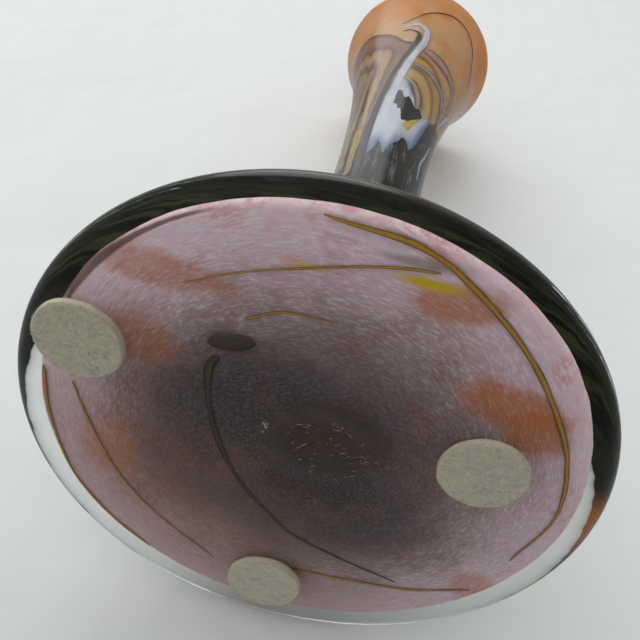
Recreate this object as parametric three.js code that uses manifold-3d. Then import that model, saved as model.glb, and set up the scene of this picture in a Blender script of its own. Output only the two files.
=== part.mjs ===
// Hand blown art glass vase: a cased vessel built up in layers, standing on three stuck-on felt pads.
// Millimetres, +Z up. The origin is on the axis, in the plane that the pads stand on.
import * as THREE from "three";
import { mergeVertices } from "three/addons/utils/BufferGeometryUtils.js";
import Module from "manifold-3d";

const wasm = await Module();
wasm.setup();

// Outer shape
const overallHeight = 380;
const footRadius = 86.4;
const rimRounding = 8.8;
const rimArcEnd = 55; // degrees above the horizontal where the rim turns into the shoulder
const shoulderReach = 45; // how far the shoulder keeps the slope that it leaves the rim with
const waistRadius = 21;
const waistHeight = 135;
const waistBelow = 60; // how far below and above its waist the neck stays upright
const waistAbove = 95;
const lipRadius = 50.4;
const flareAngle = 20; // degrees from the vertical at the lip
const flareReach = 60;
const lipLean = 5.5; // how far the hand-drawn neck carries the lip to +X
const pontilRadius = 17;
const pontilDepth = 2;

// Glass layers, from the outside in
const casingThickness = { bottom: 7.5, side: 5.2, neck: 3, lip: 1.8 };
const colourThickness = 1;
const innerThickness = { bottom: 4, side: 2.5, neck: 1.5, lip: 1.2 };
const layerGap = 0.3;
const trailThickness = 0.9;
const pinkRise = 2; // the pink foot colour turns up this far at its edge
const darkTop = 210; // the dark shoulder colour ends here and the peach one starts
const smallestCorner = 1.2;
const edgeSetback = 1.6; // how far the colour stops short of the lip's rim

// Felt pads and their adhesive films. Each place is [share of the flat foot's radius, degrees].
const padRadius = 12.5;
const padThickness = 2.6;
const padEdge = 0.7;
const filmThickness = 0.3;
const filmInset = 0.8;
const seatGap = 0.1;
const padPlaces = {
  left: [0.898, 204],
  right: [0.655, -22],
  back: [0.759, 92],
};
const glassBase = padThickness + filmThickness + 2 * seatGap;

// Facets
const turnSegments = 36;
const padSegments = 28;
const rimSteps = 5;
const shoulderSteps = 7;
const flareSteps = 7;
const trailSides = 6;

const looks = {
  clear: [0xe6ece8, 0.05],
  pink: [0xc79a9c, 0.12],
  dark: [0x23281f, 0.08],
  peach: [0xe0a468, 0.12],
  inner: [0xd9dcd4, 0.05],
  olive: [0x8a6a20, 0.15],
  brown: [0x3a2c1c, 0.15],
  white: [0xdfe6ee, 0.12],
  amber: [0xd0a83a, 0.12],
  mauve: [0x7d6266, 0.12],
  slate: [0x8d8c92, 0.12],
  felt: [0xaaa594, 0.95],
  film: [0xd8d2bc, 0.5],
};

const vase = new THREE.Group();

function addNode(name, geometry, look) {
  const [color, roughness] = looks[look];
  const material = new THREE.MeshStandardMaterial({ color, roughness, metalness: 0 });
  const mesh = new THREE.Mesh(geometry, material);
  mesh.name = name;
  vase.add(mesh);
  return mesh;
}

// A curve's points after its first, each moved under the outer skin along the normal.
function curveInset(curve, steps, depthFrom, depthTo) {
  const points = [];
  for (let i = 1; i <= steps; i++) {
    const share = i / steps;
    const tangent = curve.getTangent(share);
    const inward = new THREE.Vector2(-tangent.y, tangent.x);
    const depth = THREE.MathUtils.lerp(depthFrom, depthTo, share);
    points.push(curve.getPoint(share).addScaledVector(inward, depth));
  }
  return points;
}

// Where the rim turns into the shoulder, and the way the shoulder leaves it
const turnAngle = THREE.MathUtils.degToRad(rimArcEnd);
const turnPoint = new THREE.Vector2(
  footRadius - rimRounding * (1 - Math.cos(turnAngle)),
  glassBase + rimRounding * (1 + Math.sin(turnAngle)),
);
const turnSlope = new THREE.Vector2(-Math.sin(turnAngle), Math.cos(turnAngle));

// The shoulder up to the waist of the neck, then the flare up to the lip.
function upperProfile(depth) {
  const waist = new THREE.Vector2(waistRadius, waistHeight);
  const shoulder = new THREE.CubicBezierCurve(
    turnPoint,
    turnPoint.clone().addScaledVector(turnSlope, shoulderReach),
    new THREE.Vector2(waistRadius, waistHeight - waistBelow),
    waist,
  );
  const flare = THREE.MathUtils.degToRad(flareAngle);
  const lip = new THREE.Vector2(lipRadius, overallHeight);
  const neck = new THREE.CubicBezierCurve(
    waist,
    new THREE.Vector2(waistRadius, waistHeight + waistAbove),
    lip.clone().addScaledVector(new THREE.Vector2(Math.sin(flare), Math.cos(flare)), -flareReach),
    lip,
  );
  return [
    ...curveInset(shoulder, shoulderSteps, depth.side, depth.neck),
    ...curveInset(neck, flareSteps, depth.neck, depth.lip),
  ];
}

// The polished hollow in the middle of the bottom, where the punty was broken off.
function pontilRecess(floor) {
  const steps = 3;
  const points = [];
  for (let i = 0; i <= steps; i++) {
    const share = i / steps;
    const rise = pontilDepth * (1 - share * share);
    points.push(new THREE.Vector2(pontilRadius * share, floor + rise));
  }
  return points;
}

// A surface of the vessel at a depth under its outer skin, from the axis at the bottom up to the lip.
// Depth holds the distance under the skin at the bottom, the side, the neck and the lip.
function surfaceProfile(depth) {
  const rounding = Math.max(rimRounding - Math.max(depth.bottom, depth.side), smallestCorner);
  const floor = glassBase + depth.bottom;
  const cornerY = floor + rounding;
  // The corner touches the floor and either the side or the sloping start of the shoulder.
  const drop = (turnPoint.y - cornerY) * Math.sin(turnAngle);
  const slopeX = turnPoint.x - (depth.side + rounding - drop) / Math.cos(turnAngle);
  const cornerX = Math.min(footRadius - depth.side - rounding, slopeX);
  const points = depth.bottom === 0 ? pontilRecess(floor) : [new THREE.Vector2(0, floor)];
  for (let i = 0; i <= rimSteps; i++) {
    const angle = THREE.MathUtils.lerp(-Math.PI / 2, turnAngle, i / rimSteps);
    const x = cornerX + rounding * Math.cos(angle);
    const y = cornerY + rounding * Math.sin(angle);
    points.push(new THREE.Vector2(x, y));
  }
  const last = points[points.length - 1];
  const upper = upperProfile(depth).filter((p) => p.y > last.y && p.x < last.x);
  return between([...points, ...upper], 0, overallHeight);
}

// The part of a rising profile between two heights, with new points where it is cut.
function between(points, low, high) {
  const kept = [];
  for (let i = 0; i < points.length; i++) {
    const p = points[i];
    const q = points[i + 1];
    if (p.y >= low && p.y <= high) kept.push(p);
    if (!q) continue;
    for (const level of [low, high]) {
      const crosses = (p.y < level && q.y > level) || (p.y > level && q.y < level);
      if (crosses) kept.push(p.clone().lerp(q, (level - p.y) / (q.y - p.y)));
    }
  }
  return kept;
}

// How far the neck has leaned to +X at a height. Every layer is moved by the same rule.
function leanAt(z) {
  const rise = Math.max(0, z - waistHeight) / (overallHeight - waistHeight);
  return lipLean * rise * rise;
}

function leaned(geometry) {
  const places = geometry.getAttribute("position");
  for (let i = 0; i < places.count; i++) {
    places.setX(i, places.getX(i) + leanAt(places.getZ(i)));
  }
  return geometry;
}

// Turns a closed profile about the axis, with +Z up.
function turned(profile, segments = turnSegments) {
  const geometry = new THREE.LatheGeometry(profile, segments);
  geometry.rotateX(Math.PI / 2);
  return geometry;
}

// A vessel wall whose profile starts and ends on the axis.
function shell(outer, inner) {
  return turned([...outer, ...inner.slice().reverse()]);
}

// A band of wall whose profile closes on itself.
function band(outer, inner) {
  return turned([...outer, ...inner.slice().reverse(), outer[0].clone()]);
}

function deeper(depth, by) {
  const step = typeof by === "number" ? { bottom: by, side: by, neck: by, lip: by } : by;
  const sum = {};
  for (const place of Object.keys(depth)) sum[place] = depth[place] + step[place];
  return sum;
}

// Depths of each surface under the outer skin
const skin = { bottom: 0, side: 0, neck: 0, lip: 0 };
const casingInside = deeper(skin, casingThickness);
const trailTop = deeper(casingInside, layerGap);
const trailBottom = deeper(trailTop, trailThickness);
const colourOutside = deeper(trailBottom, layerGap);
const colourInside = deeper(colourOutside, colourThickness);
const innerOutside = deeper(colourInside, layerGap);
const innerInside = deeper(innerOutside, innerThickness);

// Clear casing, and the inner bubble that the colours were rolled onto
addNode("clear_casing", leaned(shell(surfaceProfile(skin), surfaceProfile(casingInside))), "clear");
addNode("inner_bubble", leaned(shell(surfaceProfile(innerOutside), surfaceProfile(innerInside))), "inner");

// Colour layers between the two: pink under the foot, dark on the shoulder, peach up to the lip
const colourOuter = surfaceProfile(colourOutside);
const colourInner = surfaceProfile(colourInside);
const pinkTop = glassBase + colourOutside.bottom + pinkRise;

function colourBand(low, high) {
  return leaned(band(between(colourOuter, low, high), between(colourInner, low, high)));
}
addNode("pink_base_overlay", shell(between(colourOuter, 0, pinkTop), between(colourInner, 0, pinkTop)), "pink");
addNode("dark_shoulder_overlay", colourBand(pinkTop + layerGap, darkTop), "dark");
addNode("peach_lip_overlay", colourBand(darkTop + layerGap, overallHeight - edgeSetback), "peach");

// Trails of coloured glass wound over the foot, between the casing and the pink layer.
// Each route is a list of [share of the flat foot's radius, degrees].
const flatRadius = footRadius - rimRounding;
const trailLevel = glassBase + (trailTop.bottom + trailBottom.bottom) / 2;
const trailStep = 5;

function footPlace([share, degrees]) {
  const angle = THREE.MathUtils.degToRad(degrees);
  return [flatRadius * share * Math.cos(angle), flatRadius * share * Math.sin(angle)];
}

function trail(route) {
  const places = route.map(footPlace).map(([x, y]) => new THREE.Vector3(x, y, trailLevel));
  const curve = new THREE.CatmullRomCurve3(places);
  const section = new THREE.Shape();
  section.absarc(0, 0, trailThickness / 2, 0, 2 * Math.PI);
  const steps = Math.ceil(curve.getLength() / trailStep);
  const options = { steps, curveSegments: trailSides, bevelEnabled: false, extrudePath: curve };
  return new THREE.ExtrudeGeometry(section, options);
}

const footTrails = {
  base_trail_outer: [
    [1, -97],
    [0.99, -80],
    [0.96, -66],
    [0.93, -50],
    [0.92, -36],
    [0.935, -20],
    [0.95, -2],
    [0.93, 17],
  ],
  base_trail_upper: [
    [0.94, -75],
    [0.91, -83],
    [0.84, -97],
    [0.815, -113],
    [0.825, -128],
  ],
  base_trail_inner: [
    [0.64, -118],
    [0.66, -106],
    [0.65, -96],
  ],
  base_trail_centre: [
    [0.53, -138],
    [0.4, -160],
    [0.32, 169],
    [0.32, 132],
    [0.38, 104],
    [0.48, 85],
    [0.62, 64],
  ],
  base_trail_left: [
    [0.89, -175],
    [0.83, 171],
    [0.8, 150],
    [0.79, 130],
    [0.83, 109],
  ],
  base_trail_rim: [
    [1, -173],
    [0.99, 172],
    [1, 154],
    [1, 138],
    [1, 124],
  ],
  base_trail_back: [
    [0.72, 86],
    [0.76, 65],
    [0.86, 48],
    [0.97, 33],
  ],
};
for (const [name, route] of Object.entries(footTrails)) addNode(name, trail(route), "olive");

// The gob that the centre trail was started from
const gobRadius = 4.2;
const gob = new THREE.CylinderGeometry(gobRadius, gobRadius, trailThickness, padSegments);
gob.rotateX(Math.PI / 2);
addNode("centre_gob", gob, "brown").position.set(...footPlace([0.56, -126]), trailLevel);

// Pieces of colour laid on the neck and lip are cut out of one thin layer under the casing.
function asSolid(geometry) {
  const bare = geometry.clone();
  bare.deleteAttribute("normal");
  bare.deleteAttribute("uv");
  const merged = mergeVertices(bare, 1e-3);
  return new wasm.Manifold(
    new wasm.Mesh({
      numProp: 3,
      vertProperties: new Float32Array(merged.getAttribute("position").array),
      triVerts: new Uint32Array(merged.getIndex().array),
    }),
  );
}

function asGeometry(solid) {
  const mesh = solid.getMesh();
  const geometry = new THREE.BufferGeometry();
  geometry.setAttribute("position", new THREE.BufferAttribute(mesh.vertProperties, 3));
  geometry.setIndex(new THREE.BufferAttribute(mesh.triVerts, 1));
  geometry.computeVertexNormals();
  return geometry;
}

const laidOuter = between(surfaceProfile(trailTop), waistHeight, overallHeight);
const laidInner = between(surfaceProfile(trailBottom), waistHeight, overallHeight);
const laidLayer = asSolid(leaned(band(laidOuter, laidInner)));

function laidRadius(z) {
  return between(laidOuter, z, overallHeight)[0].x;
}

// An outline of [degrees round from the front, share of the height between waist and lip],
// pressed back through the front half of the layer.
function laidPiece(outline) {
  const places = outline.map(([degrees, share]) => {
    const z = THREE.MathUtils.lerp(waistHeight, overallHeight, share);
    const x = leanAt(z) + laidRadius(z) * Math.sin(THREE.MathUtils.degToRad(degrees));
    return new THREE.Vector2(x, z);
  });
  const options = { depth: 2 * lipRadius, bevelEnabled: false };
  const prism = new THREE.ExtrudeGeometry(new THREE.Shape(places), options);
  prism.rotateX(Math.PI / 2);
  return asGeometry(laidLayer.intersect(asSolid(prism)));
}

const laidPieces = {
  neck_white_shard: {
    look: "white",
    outline: [
      [-27, 0.18],
      [-14, 0.22],
      [-5, 0.175],
      [3, 0.22],
      [16, 0.266],
      [29, 0.235],
      [42, 0.345],
      [47, 0.43],
      [42, 0.43],
      [32, 0.37],
      [22, 0.318],
      [13, 0.295],
      [7, 0.33],
      [-1, 0.37],
      [-7, 0.43],
      [-7, 0.47],
      [-4, 0.586],
      [3, 0.66],
      [8, 0.715],
      [10, 0.774],
      [5, 0.82],
      [0, 0.84],
      [-8, 0.84],
      [-22, 0.815],
      [-9, 0.812],
      [-2, 0.79],
      [0, 0.76],
      [-1, 0.716],
      [-6, 0.661],
      [-11, 0.592],
      [-14, 0.526],
      [-19, 0.48],
      [-22, 0.432],
      [-27, 0.29],
    ],
  },
  neck_black_trail: {
    look: "brown",
    outline: [
      [-40, 0.1],
      [-30, 0.1],
      [-30, 0.28],
      [-25, 0.43],
      [-22, 0.48],
      [-17, 0.53],
      [-14, 0.592],
      [-9, 0.661],
      [-4, 0.716],
      [-3, 0.76],
      [-5, 0.78],
      [-20, 0.795],
      [-22, 0.775],
      [-10, 0.765],
      [-8, 0.73],
      [-14, 0.69],
      [-20, 0.61],
      [-28, 0.48],
      [-32, 0.38],
      [-37, 0.26],
    ],
  },
  neck_dark_notch: {
    look: "brown",
    outline: [
      [-4, 0.44],
      [2, 0.395],
      [9, 0.362],
      [15, 0.352],
      [24, 0.378],
      [31, 0.402],
      [26, 0.43],
      [14, 0.435],
      [2, 0.45],
    ],
  },
  neck_yellow_tip: {
    look: "amber",
    outline: [
      [10, 0.335],
      [13, 0.311],
      [20, 0.335],
      [26, 0.362],
      [20, 0.352],
      [14, 0.338],
    ],
  },
  neck_violet_arc: {
    look: "mauve",
    outline: [
      [-4, 0.56],
      [6, 0.53],
      [14, 0.5],
      [19, 0.465],
      [14, 0.462],
      [8, 0.49],
      [-3, 0.53],
    ],
  },
  neck_grey_arc: {
    look: "slate",
    outline: [
      [3, 0.632],
      [14, 0.624],
      [26, 0.617],
      [39, 0.6],
      [50, 0.59],
      [57, 0.55],
      [53, 0.545],
      [47, 0.578],
      [38, 0.588],
      [26, 0.605],
      [14, 0.612],
      [3, 0.62],
    ],
  },
  lip_mauve_arc: {
    look: "mauve",
    outline: [
      [13, 0.72],
      [29, 0.712],
      [45, 0.703],
      [60, 0.7],
      [67, 0.66],
      [63, 0.65],
      [56, 0.675],
      [45, 0.68],
      [29, 0.684],
      [12, 0.696],
    ],
  },
  lip_amber_trail: {
    look: "olive",
    outline: [
      [-15, 0.862],
      [-9, 0.878],
      [6, 0.918],
      [22, 0.94],
      [34, 0.94],
      [52, 0.912],
      [69, 0.856],
      [68, 0.848],
      [51, 0.903],
      [34, 0.931],
      [22, 0.931],
      [6, 0.909],
      [-8, 0.869],
      [-14, 0.855],
    ],
  },
};
for (const [name, { look, outline }] of Object.entries(laidPieces)) {
  addNode(name, laidPiece(outline), look);
}

// Felt pads with a softened lower edge, each held by a film of adhesive
const padProfile = [
  new THREE.Vector2(0, 0),
  new THREE.Vector2(padRadius - padEdge, 0),
  new THREE.Vector2(padRadius, padEdge),
  new THREE.Vector2(padRadius, padThickness),
  new THREE.Vector2(0, padThickness),
];
const filmRadius = padRadius - filmInset;
const filmLevel = padThickness + seatGap + filmThickness / 2;
for (const [side, place] of Object.entries(padPlaces)) {
  const [x, y] = footPlace(place);
  addNode("felt_pad_" + side, turned(padProfile, padSegments), "felt").position.set(x, y, 0);
  const film = new THREE.CylinderGeometry(filmRadius, filmRadius, filmThickness, padSegments);
  film.rotateX(Math.PI / 2);
  addNode("pad_adhesive_" + side, film, "film").position.set(x, y, filmLevel);
}

export default vase;
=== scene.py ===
import math
import random

import bmesh
import bpy
from mathutils import Matrix, Vector, geometry, noise


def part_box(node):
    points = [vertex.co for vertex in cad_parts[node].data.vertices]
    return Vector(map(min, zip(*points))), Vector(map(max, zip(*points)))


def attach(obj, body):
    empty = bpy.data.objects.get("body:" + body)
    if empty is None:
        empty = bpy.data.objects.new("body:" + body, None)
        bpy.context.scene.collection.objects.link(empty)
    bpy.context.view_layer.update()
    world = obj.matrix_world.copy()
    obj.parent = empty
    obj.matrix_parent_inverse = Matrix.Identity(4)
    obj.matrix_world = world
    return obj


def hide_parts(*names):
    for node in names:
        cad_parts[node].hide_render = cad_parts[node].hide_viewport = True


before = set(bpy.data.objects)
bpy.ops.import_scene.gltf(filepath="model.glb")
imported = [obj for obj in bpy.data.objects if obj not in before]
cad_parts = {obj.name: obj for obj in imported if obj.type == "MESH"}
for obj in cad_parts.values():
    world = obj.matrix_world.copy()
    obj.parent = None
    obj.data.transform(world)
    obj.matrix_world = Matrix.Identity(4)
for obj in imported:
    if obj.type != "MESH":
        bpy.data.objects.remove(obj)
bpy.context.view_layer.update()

mm = 0.001
fullTurn = 2 * math.pi
scene = bpy.context.scene
print("frame loaded:", len(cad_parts), "nodes")

casingLow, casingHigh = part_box("clear_casing")
footRadius = casingHigh.x / mm
glassBase = casingLow.z / mm
overallHeight = casingHigh.z / mm

# the vessel's outer shape, in millimetres and degrees
vessel = {
    "rimRounding": 8.8,
    "rimArcEnd": 55,
    "shoulderReach": 45,
    "waistRadius": 21,
    "waistHeight": 135,
    "waistBelow": 60,
    "waistAbove": 95,
    "lipRadius": 50.4,
    "flareAngle": 20,
    "flareReach": 60,
    "lipLean": 5.5,
    "rimSteps": 16,
    "flatSteps": 26,
    "shoulderSteps": 30,
    "neckSteps": 34,
    "lipSteps": 10,
    "turnSteps": 144,
    "lipBand": 6,  # how far under the lip the wall's width is read
    "smallestCorner": 1.2,
    "ripple": 0.16,  # how uneven the hand-shaped skin is
    "rippleAcross": 26,
    "rippleUp": 70,
}
# how deep each surface lies in the glass at the bottom, side, neck and lip
skinDepth = (0, 0, 0, 0)
laidDepth = (8.2, 5.9, 3.6, 2.2)
colourDepth = (9.0, 6.7, 4.5, 3.3)
colourBack = (9.6, 7.3, 5.1, 3.8)
cavityDepth = (14.3, 10.5, 7.3, 5.8)


# materials
class Wire:
    # a socket that Python's own signs work on

    def __init__(self, tree, socket):
        self.tree = tree
        self.socket = socket

    def maths(self, operation, *others):
        return mathsOf(self.tree, operation, self, *others)

    def __add__(self, other):
        return self.maths("ADD", other)

    def __radd__(self, other):
        return self.maths("ADD", other)

    def __sub__(self, other):
        return self.maths("SUBTRACT", other)

    def __rsub__(self, other):
        return mathsOf(self.tree, "SUBTRACT", other, self)

    def __mul__(self, other):
        return self.maths("MULTIPLY", other)

    def __rmul__(self, other):
        return self.maths("MULTIPLY", other)

    def __truediv__(self, other):
        return self.maths("DIVIDE", other)

    def __pow__(self, other):
        return self.maths("POWER", other)

    def __abs__(self):
        return self.maths("ABSOLUTE")


def plug(tree, value, socket):
    if isinstance(value, Wire):
        tree.links.new(value.socket, socket)
    else:
        socket.default_value = value


def mathsOf(tree, operation, *values):
    node = tree.nodes.new("ShaderNodeMath")
    node.operation = operation
    for value, socket in zip(values, node.inputs):
        plug(tree, value, socket)
    return Wire(tree, node.outputs[0])


def largest(found, level):
    # the larger of two levels, or the second while there is no first
    return level if found is None else found.maths("MAXIMUM", level)


def paint(red, green, blue):
    # a colour as it is seen, 0 to 255, as the shader's own light values
    def light(level):
        share = level / 255
        return share / 12.92 if share <= 0.04045 else ((share + 0.055) / 1.055) ** 2.4
    return (light(red), light(green), light(blue), 1)


class Recipe:
    # one material, or the world, and the nodes that make it

    def __init__(self, name, world=None):
        self.holder = world or bpy.data.materials.new(name)
        self.holder.use_nodes = True
        self.tree = self.holder.node_tree
        self.tree.nodes.clear()
        kind = "ShaderNodeOutputWorld" if world else "ShaderNodeOutputMaterial"
        self.output = self.tree.nodes.new(kind)
        self.places = None

    def node(self, kind, settings=None, inputs=None, output=0):
        node = self.tree.nodes.new(kind)
        for name, value in (settings or {}).items():
            if name == "stops":
                ramp = node.color_ramp
                while len(ramp.elements) < len(value):
                    ramp.elements.new(1)
                for element, (place, colour) in zip(ramp.elements, value):
                    element.position = place
                    element.color = colour
            else:
                setattr(node, name, value)
        for name, value in (inputs or {}).items():
            plug(self.tree, value, node.inputs[name])
        return Wire(self.tree, node.outputs[output])

    def spots(self):
        # Object coordinates in millimetres
        if self.places is None:
            raw = self.node("ShaderNodeTexCoord", output="Object")
            self.places = self.vector("SCALE", raw, scale=1 / mm)
        return self.places

    def vector(self, operation, first, second=None, scale=None):
        inputs = {0: first}
        if second is not None:
            inputs[1] = second
        if scale is not None:
            inputs["Scale"] = scale
        return self.node("ShaderNodeVectorMath", {"operation": operation}, inputs)

    def split(self, vector):
        first = self.node("ShaderNodeSeparateXYZ", None, {0: vector})
        return [Wire(self.tree, socket) for socket in first.socket.node.outputs]

    def join(self, x, y, z):
        return self.node("ShaderNodeCombineXYZ", None, {"X": x, "Y": y, "Z": z})

    def cloud(self, vector, scale, detail=3, roughness=0.55, warp=0):
        inputs = {
            "Vector": vector,
            "Scale": scale,
            "Detail": detail,
            "Roughness": roughness,
            "Distortion": warp,
        }
        return self.node("ShaderNodeTexNoise", None, inputs)

    def fade(self, value, low, high, bottom=0, top=1):
        # goes smoothly from bottom to top as value goes from low to high
        inputs = {
            "Value": value, "From Min": low, "From Max": high, "To Min": bottom, "To Max": top,
        }
        return self.node("ShaderNodeMapRange", {"interpolation_type": "SMOOTHSTEP"}, inputs)

    def curve(self, value, low, high, points):
        # a level read off a line through points of (value, level)
        inputs = {"Value": value, "From Min": low, "From Max": high}
        share = self.node("ShaderNodeMapRange", None, inputs)
        stops = [((x - low) / (high - low), (y, y, y, 1)) for x, y in points]
        return self.node("ShaderNodeValToRGB", {"stops": stops}, {0: share})

    def mix(self, factor, first, second, blend="MIX"):
        node = self.tree.nodes.new("ShaderNodeMix")
        node.data_type = "RGBA"
        node.blend_type = blend
        for value, place in ((factor, 0), (first, 6), (second, 7)):
            plug(self.tree, value, node.inputs[place])
        return Wire(self.tree, node.outputs[2])

    def bands(self, value, stops):
        # a colour read off a line of (value, colour)
        return self.node("ShaderNodeValToRGB", {"stops": stops}, {0: value})

    def ridges(self, value, sharpness):
        # thin lines where a cloud crosses its middle
        return (1 - abs(value * 2 - 1)) ** sharpness

    def patch(self, x, y, wobble, place, size, softness=0.35):
        # 1 inside an uneven oval at place, 0 outside it
        across = (x - place[0]) / size[0]
        along = (y - place[1]) / size[1]
        distance = (across * across + along * along) ** 0.5 + wobble
        return self.fade(distance, 1 + softness, 1 - softness)

    def bump(self, height, strength, distance):
        inputs = {"Height": height, "Strength": strength, "Distance": distance}
        return self.node("ShaderNodeBump", None, inputs)

    def surface(self, colour, roughness, specular=0.5, through=0, glowColour=None, others=None):
        # through is the share of the light let through, in glowColour
        shader = self.node("ShaderNodeBsdfPrincipled", None, {
            "Base Color": colour,
            "Roughness": roughness,
            "Specular IOR Level": specular,
            **(others or {}),
        })
        if through:
            glow = self.node("ShaderNodeBsdfTranslucent", None, {"Color": glowColour})
            shader = self.node("ShaderNodeMixShader", None, {0: through, 1: shader, 2: glow})
        self.tree.links.new(shader.socket, self.output.inputs["Surface"])
        return self.holder


# shapes
def offsetCurve(knots, steps, depthFrom, depthTo):
    # points after the first of a curve, each moved under the skin along its normal
    line = geometry.interpolate_bezier(*knots, steps * 4 + 1)
    found = []
    for step in range(1, steps + 1):
        index = step * 4
        ahead = line[min(index + 1, len(line) - 1)]
        tangent = (ahead - line[index - 1]).normalized()
        inward = Vector((-tangent.y, tangent.x))
        depth = depthFrom + (depthTo - depthFrom) * step / steps
        found.append(line[index] + inward * depth)
    return found


def surfaceProfile(depth):
    # (radius, height) from the axis at the bottom to the lip, in millimetres
    v = vessel
    bottom, side, neck, lip = depth
    turn = math.radians(v["rimArcEnd"])
    rounding = max(v["rimRounding"] - max(bottom, side), v["smallestCorner"])
    floor = glassBase + bottom
    turnPoint = Vector((
        footRadius - v["rimRounding"] * (1 - math.cos(turn)),
        glassBase + v["rimRounding"] * (1 + math.sin(turn)),
    ))
    slope = Vector((-math.sin(turn), math.cos(turn)))
    cornerY = floor + rounding
    drop = (turnPoint.y - cornerY) * math.sin(turn)
    slopeX = turnPoint.x - (side + rounding - drop) / math.cos(turn)
    cornerX = min(footRadius - side - rounding, slopeX)
    points = [Vector((cornerX * (i / v["flatSteps"]), floor)) for i in range(v["flatSteps"])]
    for i in range(v["rimSteps"] + 1):
        angle = -math.pi / 2 + (turn + math.pi / 2) * i / v["rimSteps"]
        points.append(Vector((
            cornerX + rounding * math.cos(angle),
            cornerY + rounding * math.sin(angle),
        )))
    waist = Vector((v["waistRadius"], v["waistHeight"]))
    flare = math.radians(v["flareAngle"])
    lipPoint = Vector((v["lipRadius"], overallHeight))
    shoulder = (
        turnPoint,
        turnPoint + slope * v["shoulderReach"],
        waist - Vector((0, v["waistBelow"])),
        waist,
    )
    neckCurve = (
        waist,
        waist + Vector((0, v["waistAbove"])),
        lipPoint - Vector((math.sin(flare), math.cos(flare))) * v["flareReach"],
        lipPoint,
    )
    last = points[-1]
    upper = offsetCurve(shoulder, v["shoulderSteps"], side, neck)
    upper += offsetCurve(neckCurve, v["neckSteps"], neck, lip)
    points += [p for p in upper if p.y > last.y and p.x < last.x]
    return points


def between(points, low, high):
    kept = []
    for p, q in zip(points, points[1:] + [None]):
        if low <= p.y <= high:
            kept.append(p)
        for level in (low, high):
            if q is not None and (p.y - level) * (q.y - level) < 0:
                kept.append(p.lerp(q, (level - p.y) / (q.y - p.y)))
    return kept


def bearing(angle):
    return Vector((math.cos(angle), math.sin(angle), 0))


def leanAt(z):
    # how far the hand-drawn neck has carried its axis to +X, in millimetres
    rise = max(0, z - vessel["waistHeight"]) / (overallHeight - vessel["waistHeight"])
    return vessel["lipLean"] * rise * rise


def spun(profile, closed=False, steps=None):
    bm = bmesh.new()
    verts = [bm.verts.new((x * mm, 0, y * mm)) for x, y in profile]
    edges = [bm.edges.new(pair) for pair in zip(verts, verts[1:])]
    if closed:
        edges.append(bm.edges.new((verts[-1], verts[0])))
    bmesh.ops.spin(
        bm, geom=verts + edges, cent=(0, 0, 0), axis=(0, 0, 1), angle=fullTurn,
        steps=steps or vessel["turnSteps"], use_merge=True,
    )
    bmesh.ops.remove_doubles(bm, verts=bm.verts, dist=0.01 * mm)
    bmesh.ops.recalc_face_normals(bm, faces=bm.faces)
    return bm


def leaned(bm):
    for vert in bm.verts:
        vert.co.x += leanAt(vert.co.z / mm) * mm
    return bm


def added(name, data):
    thing = bpy.data.objects.new(name, data)
    scene.collection.objects.link(thing)
    return thing


def meshOf(bm, name, material):
    mesh = bpy.data.meshes.new(name)
    bm.to_mesh(mesh)
    bm.free()
    mesh.materials.append(material)
    return mesh


def finished(bm, name, material, replaced=()):
    mesh = meshOf(bm, name, material)
    mesh.shade_smooth()
    piece = added(name, mesh)
    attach(piece, "root")
    if replaced:
        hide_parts(*replaced)
    return piece


# the clear glass wall
pontil = {
    "place": (3, -6),
    "radius": 16.5,
    "depth": 1.1,
    "edge": 1.6,
}


def groundIn(x, y):
    # how deep the mark left by the punty is ground in, in millimetres
    away = math.hypot(x - pontil["place"][0], y - pontil["place"][1])
    rim = min(1, max(0, (pontil["radius"] - away) / pontil["edge"]))
    return pontil["depth"] * rim * rim * (3 - 2 * rim)


def clearGlass():
    r = Recipe("clearGlass")
    places = r.spots()
    slow = r.cloud(places, 0.022, 2)
    drawn = r.cloud(r.vector("MULTIPLY", places, (0.05, 0.05, 0.012)), 1, 2)
    return r.surface((0.985, 0.995, 0.985, 1), 0.0, others={
        "IOR": 1.5,
        "Transmission Weight": 1.0,
        "Normal": r.bump(slow + drawn * 0.8, 0.5, 1.2 * mm),
    })


outer = surfaceProfile(skinDepth)
cavity = surfaceProfile(cavityDepth)
mouth = between(cavity, overallHeight - vessel["lipBand"], overallHeight)[-1]
lipWidth = vessel["lipRadius"] - mouth.x
lipTurn = overallHeight - lipWidth / 2
outer = between(outer, 0, lipTurn)
cavity = between(cavity, 0, lipTurn)
lipFrom, lipTo = outer[-1], cavity[-1]
lipCentre = (lipFrom + lipTo) / 2
lipArc = []
for i in range(1, vessel["lipSteps"]):
    angle = math.pi * i / vessel["lipSteps"]
    lipArc.append(Vector((
        lipCentre.x + (lipFrom.x - lipTo.x) / 2 * math.cos(angle),
        lipCentre.y + (overallHeight - lipTurn) * math.sin(angle),
    )))
wall = spun(outer + lipArc + cavity[::-1])
for vert in wall.verts:
    x, y, z = (c / mm for c in vert.co)
    radius = math.hypot(x, y)
    if z < glassBase + 0.01:
        vert.co.z += groundIn(x, y) * mm
    elif z > vessel["waistHeight"] / 3 and radius > 0:
        across, up = vessel["rippleAcross"], vessel["rippleUp"]
        uneven = noise.noise(Vector((x / across, y / across, z / up)))
        vert.co.x *= 1 + vessel["ripple"] * uneven / radius
        vert.co.y *= 1 + vessel["ripple"] * uneven / radius
finished(
    leaned(wall), "glass_wall", clearGlass(), ("clear_casing", "inner_bubble")
)
print("glass wall made")


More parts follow.
